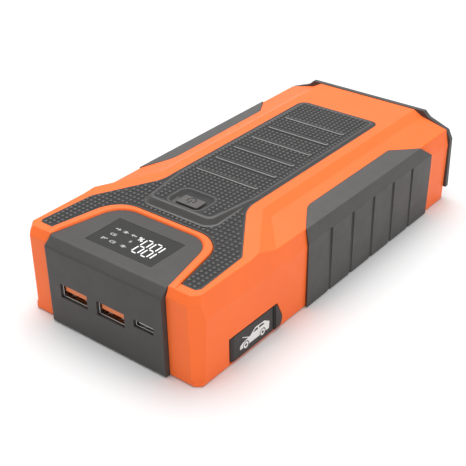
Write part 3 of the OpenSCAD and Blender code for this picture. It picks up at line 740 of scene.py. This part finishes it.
def plateau(bm):
    """The raised part: a slanted wall that rolls over into a level top, with the button's dish.

    The profiles are shares of the wall's width and of its height, from the foot of the wall up and from
    the rim of the dish down.
    """
    rim = plateau_outline()
    wall = [(1.35, -0.02), (1.12, 0.02), (0.98, 0.07), (0.86, 0.17), (0.2, 0.82), (0.08, 0.93),
            (-0.06, 0.985), (-0.24, 1.0)]
    bowl = [(1.15, 1.0), (1.02, 0.97), (0.92, 0.88), (0.3, 0.2), (0.12, 0.06), (-0.1, 0.0)]

    def rise(p):
        return PLATEAU_Z - deck_z(p.y) - PAD_SKIN

    foot = grown(rim, lambda p: rise(p) * WALL_SLANT * wall[0][0])
    rows = [ring_of(bm, foot, lambda p: deck_z(p.y) - PAD_THICK + PAD_SKIN)]
    for out, up in wall:
        moved = grown(rim, lambda p, out=out: rise(p) * WALL_SLANT * out)
        rows.append([bm.verts.new((q.x, q.y, deck_z(p.y) + PAD_SKIN + rise(p) * up))
                     for p, q in zip(rim, moved)])
    bridge(bm, *rows)
    bm.faces.new(reversed(rows[0]))
    depth = PLATEAU_Z - DISH_FLOOR
    dips = [ring_of(bm, grown(dish_outline(), depth * DISH_SLANT * out), DISH_FLOOR + depth * up)
            for out, up in bowl]
    dips.append(ring_of(bm, key_outline(KEY_GAP + WELL_CHAMFER), DISH_FLOOR))
    dips.append(ring_of(bm, key_outline(KEY_GAP), DISH_FLOOR - WELL_CHAMFER))
    dips.append(ring_of(bm, key_outline(KEY_GAP), WELL_FLOOR))
    bridge(bm, *dips)
    bm.faces.new(dips[-1])
    border = ring_of(bm, grown(rim, -PLATEAU_STRIP), PLATEAU_Z)
    bridge(bm, rows[-1], border)
    collar = ring_of(bm, dish_outline(DISH_COLLAR), PLATEAU_Z)
    bridge(bm, collar, dips[0])
    # The level top inside the plain strip takes the painted shade colour between its bumps.
    for face in fill_between(bm, [border, collar]):
        face.material_index = 1


def knurl_bump(bm, x, y, z):
    """A low dome, sunk a little into the surface under it."""
    lathe(bm, [(KNURL_RADIUS, z - KNURL_SUNK), (KNURL_RADIUS * 0.96, z + KNURL_BRIM),
               (KNURL_RADIUS * 0.8, z + KNURL_RISE * 0.55), (KNURL_RADIUS * 0.52, z + KNURL_RISE * 0.86),
               (KNURL_RADIUS * 0.2, z + KNURL_RISE)], (x, y), 10)


def knurl_spots():
    """Where bumps stand: a square grid, less what is too close to an edge, a rib or the dish."""
    pad, rim = pad_outline(), plateau_outline()
    foot = grown(rim, lambda p: (PLATEAU_Z - deck_z(p.y) - PAD_SKIN) * WALL_SLANT * 1.3)
    dish = dish_outline(DISH_COLLAR)
    columns = math.ceil(PAD_NOSE_HALF / KNURL_PITCH)
    for i in range(-columns, columns + 1):
        for j in range(math.floor(PAD_FRONT / KNURL_PITCH), math.ceil(PAD_BACK / KNURL_PITCH) + 1):
            p = Vector((i * KNURL_PITCH, j * KNURL_PITCH))
            beside_rib = min(abs(p.y - y) for y in RIB_YS) < RIB_MARGIN_Y
            on_rib = abs(p.x) < RIB_HALF + RIB_MARGIN_X and beside_rib
            if on_rib or not inside(pad, p) or clear_of(pad, p) < KNURL_MARGIN:
                continue
            if inside(foot, p):
                in_front = abs(p.x) < DISH_HALF_X + DISH_MARGIN_X and p.y < BARE_FRONT_Y
                if not inside(rim, p) or clear_of(rim, p) < RIM_MARGIN or in_front:
                    continue
                if not inside(dish, p) and clear_of(dish, p) > KNURL_RADIUS * 0.6:
                    yield p.x, p.y, PLATEAU_Z
            elif clear_of(foot, p) > KNURL_RADIUS * 0.8:
                yield p.x, p.y, deck_z(p.y) + PAD_SKIN


def rib(bm, y):
    """A low cross rib, coloured dark on top as painted shade, with a painted highlight on its rounded rim.
    """
    known = set(bm.faces)
    outline = block(RIB_HALF, RIB_WIDTH / 2, RIB_WIDTH / 2 - 0.01, (0, y), 8)
    crest = PLATEAU_Z + RIB_RISE
    top = slab(bm, outline, PLATEAU_Z - RIB_ROOT, crest, RIB_ROUND, 4)
    # Faces near the crest get the painted highlight colour, and the top face gets the painted shade colour.
    for face in bm.faces:
        if face not in known and face.calc_center_median().z > crest - RIB_RIM:
            face.material_index = 2
    top.material_index = 1


def knurled_pad():
    bm = bmesh.new()
    pad_skin(bm)
    plateau(bm)
    for y in RIB_YS:
        rib(bm, y)
    for spot in knurl_spots():
        knurl_bump(bm, *spot)
    piece("knurled_pad", bm, (PAD_GREY, FIELD_PAINTED_SHADE, CREST_PAINTED_HIGHLIGHT), "pack", "top_pad", 50)


def power_key():
    """The button's cap on its flange, and its symbol: a ring that is open where its bar stands."""
    bm = bmesh.new()
    size, flange_top = KEY_HIGH - KEY_LOW, KEY_LOW.z + 1.1
    slab(bm, key_outline(), KEY_LOW.z + 0.5, KEY_HIGH.z, 0.35, 4)
    slab(bm, block(size.x / 2, size.y / 2, 0.5, (0, KEY_Y)), KEY_LOW.z, flange_top)
    piece("power_key", bm, KEY_GREY, "button", "power_button")
    symbol = bmesh.new()
    centre = Vector((-0.2, KEY_Y + 0.55))
    radius, stroke, gap, steps = 1.7, 0.24, 42, 28
    bar_half, bar_shift = 1.3, 1.25
    turns = [math.radians(-90 + gap + (360 - 2 * gap) * i / steps) for i in range(steps + 1)]
    spokes = [Vector((math.cos(t), math.sin(t))) for t in turns]
    arc = [centre + spoke * (radius + stroke) for spoke in spokes]
    arc += [centre + spoke * (radius - stroke) for spoke in reversed(spokes)]
    stem = block(stroke, bar_half, 0.1, (centre.x, centre.y - bar_shift), 2)
    for outline in (arc, stem):
        inlay(symbol, [outline], KEY_HIGH.z - INK_DEPTH, KEY_HIGH.z + INK_DEPTH)
    piece("power_symbol", symbol, INK_BLACK, "button")


knurled_pad()
power_key()


# ---- display

# Figures and marks are read from the rear: they run towards -X and their tops point to -Y. The number is
# a one and two eights, and each has one or two columns of strokes.
DIGIT_ROWS = (-73.83, -69.36, -64.78)
DIGIT_COLUMNS = ((11.67,), (10.14, 7.36), (5.86, 3.08))
STROKE, STROKE_GAP, PERCENT_STROKE = 0.54, 0.35, 0.4
PERCENT_DOTS, PERCENT_SLASH = ((1.5, -66.7), (0.1, -65.3)), ((0.0, -67.1), (1.6, -64.9))
DOT_HALF, DOT_HOLE = 0.5, 0.22
LIT_LOW, LIT_HIGH = SCREEN_Z - INK_DEPTH, SCREEN_Z + INK_DEPTH


def stroke_outline(a, b, width=STROKE):
    """A lit segment from a to b with pointed ends."""
    a, b = Vector(a), Vector(b)
    along = (b - a).normalized()
    side = Vector((-along.y, along.x)) * width / 2
    tip = along * width / 2
    return [a, a + tip + side, b - tip + side, b, b - tip - side, a + tip - side]


def figures(bm):
    strokes = []
    for columns in DIGIT_COLUMNS:
        for x in columns:
            strokes += [((x, top + STROKE_GAP), (x, foot - STROKE_GAP))
                        for top, foot in zip(DIGIT_ROWS, DIGIT_ROWS[1:])]
        if len(columns) > 1:
            strokes += [((columns[1] + STROKE_GAP, y), (columns[0] - STROKE_GAP, y)) for y in DIGIT_ROWS]
    for a, b in strokes:
        inlay(bm, [stroke_outline(a, b)], LIT_LOW, LIT_HIGH)
    for at in PERCENT_DOTS:
        inlay(bm, [block(DOT_HALF, DOT_HALF, 0.4, at, 3), block(DOT_HOLE, DOT_HOLE, 0.15, at, 3)],
              LIT_LOW, LIT_HIGH)
    inlay(bm, [stroke_outline(*PERCENT_SLASH, PERCENT_STROKE)], LIT_LOW, LIT_HIGH)


def bar(u0, v0, u1, v1):
    return [(u0, v0), (u1, v0), (u1, v1), (u0, v1)]


# The marks, drawn in reading direction from corners given as (right, up), and where each of them stands.
BATTERY = (bar(-1.3, -0.7, 1.0, -0.45), bar(-1.3, 0.45, 1.0, 0.7), bar(-1.3, -0.45, -1.05, 0.45),
           bar(0.75, -0.45, 1.0, 0.45), bar(1.05, -0.3, 1.35, 0.3), bar(-0.85, -0.25, -0.2, 0.25))
ARROW = (bar(-1.3, -0.25, 0.1, 0.25), [(0.15, -0.75), (1.35, 0), (0.15, 0.75)])
ARROW_BACK = [[(-u, v) for u, v in part] for part in ARROW]
BOLT = ([(-0.1, -0.95), (0.8, 0.2), (0.15, 0.2), (0.35, 0.95), (-0.7, -0.15), (0, -0.15)],)
LEVEL = [bar(-1.2 + i * 0.9, -0.75, -0.6 + i * 0.9, -0.25 + i * 0.5) for i in range(3)]
PLUG = (bar(-0.4, -0.7, 0.6, 0.7), bar(0.65, -0.5, 1.3, -0.22), bar(0.65, 0.22, 1.3, 0.5),
        bar(-1.3, -0.14, -0.45, 0.14))
ICONS = ((PLUG, -1.1, -73.1), (BATTERY, -6.4, -73.2), (LEVEL, -10.4, -73.2), (BOLT, -1.2, -69.3),
         (BATTERY, -9.7, -69.3), (ARROW, -3.0, -65.6), (PLUG, -6.8, -65.6), (ARROW_BACK, -10.6, -65.6))


def display():
    bm = bmesh.new()
    low, high = [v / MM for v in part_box("display_window")]
    middle = ((low.x + high.x) / 2, (low.y + high.y) / 2)
    glass = block((high.x - low.x) / 2, (high.y - low.y) / 2, 0.25, middle, 3)
    slab(bm, glass, low.z, SCREEN_Z - INK_DEPTH / 2, 0.1, 2)
    piece("display_lens", bm, GLASS_GREY, "pack", "display_window")
    bm = bmesh.new()
    figures(bm)
    piece("display_figures", bm, DIGITS, "pack")
    bm = bmesh.new()
    for shape, x, y in ICONS:
        for part in shape:
            inlay(bm, [[Vector((x - u, y - v)) for u, v in part]], LIT_LOW, LIT_HIGH)
    piece("display_icons", bm, MARKS, "pack")


display()


# ---- port cover

# From the casing outwards: the cover's back, its base plate and its raised face.
COVER_SKIN_X, COVER_BASE_X, COVER_FACE_X = 39.8, 41.4, 42.0
COVER_LOW, COVER_HIGH = 1.2, 11.6
COVER_FRONT, COVER_REAR, TAB_TIP_Y, TAB_TIP_Z = -67.0, -41.4, -37.3, 4.8

# The hinge's barrel at the front end, whose upper end is domed, and the crease before the tab.
BARREL_R, BARREL_DOME = 1.6, 1.3
PIN_X, PIN_Y = COVER_FACE_X - BARREL_R, COVER_FRONT + BARREL_R
CREASE_Y, CREASE_WIDTH = -43.2, 0.7
TAB_RISE, TAB_ROUND, PLATE_OVERLAP = 0.4, 0.6, 0.3

# The lip on the cover's back, which plugs the port; as places along y and z.
LIP_FRONT, LIP_REAR, LIP_LOW, LIP_HIGH, LIP_R, LIP_WALL = -62.3, -45.7, 3.7, 10.1, 0.8, 1.2
MARK_DEPTH = 0.03


def cover_outline(front):
    """The cover's outline in (y, z), from a place behind its hinge to the tip of its tab."""
    return rounded([(front, COVER_LOW, 0.3), (front, COVER_HIGH, 0.3), (COVER_REAR + 0.6, COVER_HIGH, 1),
                    (TAB_TIP_Y, TAB_TIP_Z, 2.6), (TAB_TIP_Y - 1, COVER_LOW, 2)])


def cover_plate(bm, outline, low, high, edge, steps):
    known = set(bm.verts)
    slab(bm, outline, low, high, edge, steps)
    turned_side(bm, known)


def arch(at, radius=1.75, foot=3.9, steps=8):
    start = math.asin((foot - at[1]) / radius)
    return [Vector((at[0] - radius * math.cos(t), at[1] + radius * math.sin(t)))
            for t in [start + (math.pi - 2 * start) * i / steps for i in range(steps + 1)]]


def disc(at, radius, steps=16):
    return [Vector(at) + Vector((math.cos(t), math.sin(t))) * radius
            for t in [2 * math.pi * i / steps for i in range(steps)]]


def car_mark(bm):
    """A plain car seen from the side, with its bonnet up; drawn in (y, z)."""
    wheels = ((-59.0, 4.35), (-49.3, 4.35))
    body = rounded([(-45.6, 3.9, 0.2), (-45.2, 6.9, 0.5), (-46.3, 7.5, 0.4), (-48.2, 8.7, 1.0),
                    (-53.6, 8.9, 1.4), (-56.6, 6.9, 0.6), (-61.0, 6.2, 0.8), (-62.4, 5.4, 0.5),
                    (-62.4, 3.9, 0.2)], 4)
    body += arch(wheels[0]) + arch(wheels[1])
    front_window = [(-52.0, 7.2, 0.1), (-52.2, 8.25, 0.2), (-53.6, 8.2, 0.4), (-55.0, 7.2, 0.1)]
    rear_window = [(-48.0, 7.3, 0.1), (-49.2, 8.2, 0.3), (-51.4, 8.25, 0.1), (-51.4, 7.25, 0.1)]
    inlay(bm, [body, rounded(front_window, 3), rounded(rear_window, 3)], 0, 1)
    tyre_r, hub_r = 1.35, 0.62
    for wheel in wheels:
        inlay(bm, [disc(wheel, tyre_r), disc(wheel, hub_r, 10)], 0, 1)
    bonnet = [(-57.3, 6.95), (-60.9, 8.75), (-61.05, 8.5), (-57.5, 6.65)]
    inlay(bm, [[Vector(p) for p in bonnet]], 0, 1)


def raised_face(bm):
    """The cover's face between its hinge and its crease, with a rounded rim except at the hinge."""
    known = set(bm.verts)
    hinge_end = PIN_Y - 0.4
    outline = rounded([(hinge_end, COVER_LOW, 0.1), (hinge_end, COVER_HIGH, 0.1),
                       (CREASE_Y, COVER_HIGH, 0.3), (CREASE_Y, COVER_LOW, 0.3)], 4)
    profile = ((0, COVER_BASE_X - PLATE_OVERLAP), (0, COVER_FACE_X - 0.28), (0.09, COVER_FACE_X - 0.08),
               (0.3, COVER_FACE_X))
    stack(bm, [ring_of(bm, grown(outline, lambda p, inset=inset: 0 if p.x < PIN_Y else -inset), x)
               for inset, x in profile])
    turned_side(bm, known)


def plug_lip(bm):
    known = set(bm.verts)
    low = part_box("port_cover")[0] / MM
    outer = rounded([(LIP_FRONT, LIP_LOW, LIP_R), (LIP_FRONT, LIP_HIGH, LIP_R),
                     (LIP_REAR, LIP_HIGH, LIP_R), (LIP_REAR, LIP_LOW, LIP_R)], 4)
    inner, root = grown(outer, -LIP_WALL), COVER_SKIN_X + NEAR
    rows = [ring_of(bm, outline, x)
            for outline, x in ((outer, root), (outer, low.x), (inner, low.x), (inner, root))]
    bridge(bm, *rows, rows[0])
    turned_side(bm, known)


def port_cover():
    bm = bmesh.new()
    cover_plate(bm, cover_outline(PIN_Y), COVER_SKIN_X, COVER_BASE_X, 0.1, 1)
    raised_face(bm)
    cover_plate(bm, grown(cover_outline(CREASE_Y + CREASE_WIDTH), -0.05), COVER_BASE_X - PLATE_OVERLAP,
                COVER_FACE_X + TAB_RISE, TAB_ROUND, 4)
    dome = ((1, 1), (0.94, 0.6), (0.7, 0.2), (0.4, 0))
    barrel = [(BARREL_R * out, COVER_HIGH - BARREL_DOME * down) for out, down in dome]
    lathe(bm, [(BARREL_R, COVER_LOW)] + barrel, (PIN_X, PIN_Y), 24)
    plug_lip(bm)
    piece("port_cover_flap", bm, COVER_RUBBER, "cover", "port_cover")
    mark = bmesh.new()
    car_mark(mark)
    for v in mark.verts:
        v.co.z = COVER_FACE_X + (MARK_DEPTH if v.co.z > 0.5 else -MARK_DEPTH)
    turned_side(mark)
    piece("port_cover_car_mark", mark, INK_WHITE, "cover")


port_cover()


# ---- USB ports

SHELL_SETBACK = 0.3
SHELL_A_WIDTH, TONGUE_A_WIDTH = 13.2, 11.2
CONTACTS_A, CONTACT_A_PITCH, CONTACT_A_HALF = 4, 2.3, 0.5
CONTACTS_C, CONTACT_C_INSET, CONTACT_C_HALF = 12, 0.6, 0.13

# The springs pressed into a USB-A shell: their inset from its sides, half width, length and height.
SPRING_INSET, SPRING_HALF = 3.4, 1.0
SPRING_FRONT, SPRING_REAR, SPRING_LOW, SPRING_HIGH = 2.5, 8.0, 0.3, 0.62


def tube(bm, outline, wall, y0, y1):
    """A drawn shell with a closed back, its mouth at y0; the outline is in (x, z)."""
    known = set(bm.verts)
    inner = grown(outline, -wall)
    lip = wall * 0.4
    stack(bm, [ring_of(bm, outline, y1), ring_of(bm, outline, y0 + lip),
               ring_of(bm, grown(outline, -lip), y0), ring_of(bm, grown(outline, lip - wall), y0),
               ring_of(bm, inner, y0 + lip), ring_of(bm, inner, y1 - wall)])
    turned_front(bm, known)


def in_box(low, high, corner_r, steps=4):
    """A rounded outline in (x, z) that fills a box."""
    return block((high.x - low.x) / 2, (high.z - low.z) / 2, corner_r,
                 ((low.x + high.x) / 2, (low.z + high.z) / 2), steps)


def tongue(bm, low, high, corner_r, edge, steps=4):
    """A port's tongue that fills a box, with its front edge rounded."""
    known = set(bm.verts)
    slab(bm, in_box(low, high, corner_r, steps), -high.y, -low.y, edge, 2)
    turned_front(bm, known, -1)


def contact(bm, low, high):
    for face in {f for v in box_in(bm, low, high) for f in v.link_faces}:
        face.material_index = 1


def usb_a_ports():
    low, high = [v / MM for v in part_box("usb_a_shells")]
    first, last = [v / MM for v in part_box("usb_a_tongues")]
    shells, tongues = bmesh.new(), bmesh.new()
    for left, tongue_left in ((low.x, first.x), (high.x - SHELL_A_WIDTH, last.x - TONGUE_A_WIDTH)):
        mouth = Vector((left, 0, low.z)), Vector((left + SHELL_A_WIDTH, 0, high.z))
        tube(shells, in_box(*mouth, 0.45), 0.35, low.y + SHELL_SETBACK, high.y)
        for x in (left + SPRING_INSET, left + SHELL_A_WIDTH - SPRING_INSET):
            box_in(shells, (x - SPRING_HALF, low.y + SPRING_FRONT, low.z + SPRING_LOW),
                   (x + SPRING_HALF, low.y + SPRING_REAR, low.z + SPRING_HIGH))
        tongue(tongues, Vector((tongue_left, first.y, first.z)),
               Vector((tongue_left + TONGUE_A_WIDTH, last.y, last.z)), 0.3, 0.2)
        for i in range(CONTACTS_A):
            x = tongue_left + TONGUE_A_WIDTH / 2 + (i - (CONTACTS_A - 1) / 2) * CONTACT_A_PITCH
            contact(tongues, (x - CONTACT_A_HALF, first.y + 0.7, first.z - 0.12),
                    (x + CONTACT_A_HALF, last.y - 1, first.z + 0.1))
    piece("usb_a_port_shells", shells, STEEL, "pack", "usb_a_shells")
    piece("usb_a_port_tongues", tongues, (PORT_ORANGE, BRASS), "pack", "usb_a_tongues")


def usb_c_port():
    low, high = [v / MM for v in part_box("usb_c_shell")]
    shell = bmesh.new()
    tube(shell, in_box(low, high, 0.7), 0.3, low.y + SHELL_SETBACK, high.y)
    piece("usb_c_port_shell", shell, STEEL, "pack", "usb_c_shell")
    low, high = [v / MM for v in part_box("usb_c_tongue")]
    blade = bmesh.new()
    tongue(blade, low, high, 0.2, 0.15, 2)
    pitch = (high.x - low.x - 2 * CONTACT_C_INSET) / (CONTACTS_C - 1)
    for i in range(CONTACTS_C):
        x = low.x + CONTACT_C_INSET + i * pitch
        contact(blade, (x - CONTACT_C_HALF, low.y + 0.5, high.z - 0.04),
                (x + CONTACT_C_HALF, high.y - 1, high.z + 0.04))
    piece("usb_c_port_tongue", blade, (PORT_GREY, BRASS), "pack", "usb_c_tongue")


usb_a_ports()
usb_c_port()


# ---- feet and torch

def rubber_feet():
    bm = bmesh.new()
    low, high = [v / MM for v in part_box("foot_pads")]
    radius = 6.0
    for x in (low.x + radius, high.x - radius):
        for y in (low.y + radius, high.y - radius):
            lathe(bm, [(1.2, 0.25), (3.2, 0.25), (3.6, low.z), (radius - 0.5, low.z), (radius - 0.1, 0.15),
                       (radius, 0.5), (radius, high.z)], (x, y), 40)
    piece("rubber_feet", bm, FOOT_RUBBER, "pack", "foot_pads")


def torch_window():
    bm = bmesh.new()
    low, high = [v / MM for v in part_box("torch_lens")]
    radius = (high.x - low.x) / 2
    profile = [(0.6, 0)]
    for i in range(6):
        r = 1.4 + i * 1.2
        profile += [(r - 0.1, 0), (r, 0.18)]
    profile += [(radius - 0.3, 0), (radius, 0.3), (radius, high.y - low.y - 0.25),
                (radius - 0.25, high.y - low.y), (1, high.y - low.y)]
    lathe(bm, profile, (0, 0), 48)
    for v in bm.verts:
        v.co = Vector((v.co.x, low.y + v.co.z, (low.z + high.z) / 2 + v.co.y))
    piece("torch_window", bm, LENS_CLEAR, "pack", "torch_lens")


rubber_feet()
torch_window()


# ---- stage, light, camera

# Lengths of the stage are in metres, and powers in watts. A lamp has a place, an aim, a size and a power.
FLOOR_SIZE = 6.0
SKY_LEVEL = 0.5
KEY_LIGHT = (-0.2, 0.15, 0.9), (0, 0, 0.03), (1.0, 1.0), 10.5
FILL_LIGHT = (0.9, -0.35, 0.35), (0, 0, 0.02), (0.9, 0.6), 2.0

# The camera: angles in degrees, the point it looks at and its distance from it in millimetres.
AZIMUTH, ELEVATION, ROLL = 39.162, 30.835, -1.135
LENS, SENSOR = 78.58, 36.0
AIM = Vector((2.154, -16.119, 15.489))
DISTANCE = 403.24


def white_to_camera(tree, seen, other):
    """Shows one shader to the camera, mirrors and glass, and another to the rest of the light."""
    path = tree.nodes.new("ShaderNodeLightPath")
    added = path.outputs["Is Camera Ray"]
    for output in ("Is Glossy Ray", "Is Transmission Ray"):
        add = tree.nodes.new("ShaderNodeMath")
        add.operation = "ADD"
        add.use_clamp = True
        tree.links.new(added, add.inputs[0])
        tree.links.new(path.outputs[output], add.inputs[1])
        added = add.outputs[0]
    mix = tree.nodes.new("ShaderNodeMixShader")
    tree.links.new(added, mix.inputs["Fac"])
    tree.links.new(other, mix.inputs[1])
    tree.links.new(seen, mix.inputs[2])
    return mix.outputs["Shader"]


def pale_floor():
    bm = bmesh.new()
    bmesh.ops.create_grid(bm, x_segments=1, y_segments=1, size=FLOOR_SIZE / 2)
    floor = in_scene("floor", mesh_of("floor", bm))
    made, tree, shader, place = new_finish("floor_white")
    shader.inputs["Roughness"].default_value = 0.9
    shader.inputs["Specular IOR Level"].default_value = 0.0
    tinted(tree, shader, noise(tree, place, 300), (0.84,) * 3, (0.86,) * 3)
    floor.data.materials.append(made)


def soft_world(level):
    world = bpy.data.worlds.new("soft_sky")
    bpy.context.scene.world = world
    world.use_nodes = True
    tree = world.node_tree
    sky = tree.nodes["Background"]
    sky.inputs["Strength"].default_value = level
    sky.inputs["Color"].default_value = (1, 1, 1, 1)
    plain = tree.nodes.new("ShaderNodeBackground")
    plain.inputs["Strength"].default_value = 1
    tree.links.new(white_to_camera(tree, plain.outputs[0], sky.outputs[0]),
                   tree.nodes["World Output"].inputs["Surface"])


def softbox(name, at, aim, size, power):
    data = bpy.data.lights.new(name, "AREA")
    data.shape = "RECTANGLE"
    data.size, data.size_y = size
    data.energy = power
    lamp = in_scene(name, data)
    lamp.location = at
    lamp.rotation_mode = "QUATERNION"
    lamp.rotation_quaternion = (Vector(aim) - Vector(at)).to_track_quat("-Z", "Y")


def photo_camera():
    a, e, r = [math.radians(v) for v in (AZIMUTH, ELEVATION, ROLL)]
    back = Vector((math.sin(a) * math.cos(e), -math.cos(a) * math.cos(e), math.sin(e)))
    level = Vector((math.cos(a), math.sin(a), 0))
    upright = level.cross(-back)
    right = level * math.cos(r) + upright * math.sin(r)
    up = -level * math.sin(r) + upright * math.cos(r)
    data = bpy.data.cameras.new("photo_camera")
    data.lens, data.sensor_width = LENS, SENSOR
    data.clip_start, data.clip_end = 0.01, 20
    camera = in_scene("photo_camera", data)
    turned = Matrix((right, up, back)).transposed().to_4x4()
    turned.translation = (AIM + back * DISTANCE) * MM
    camera.matrix_world = turned
    bpy.context.scene.camera = camera


pale_floor()
soft_world(SKY_LEVEL)
softbox("key_light", *KEY_LIGHT)
softbox("fill_light", *FILL_LIGHT)
photo_camera()
bpy.context.scene.view_settings.view_transform = "Standard"
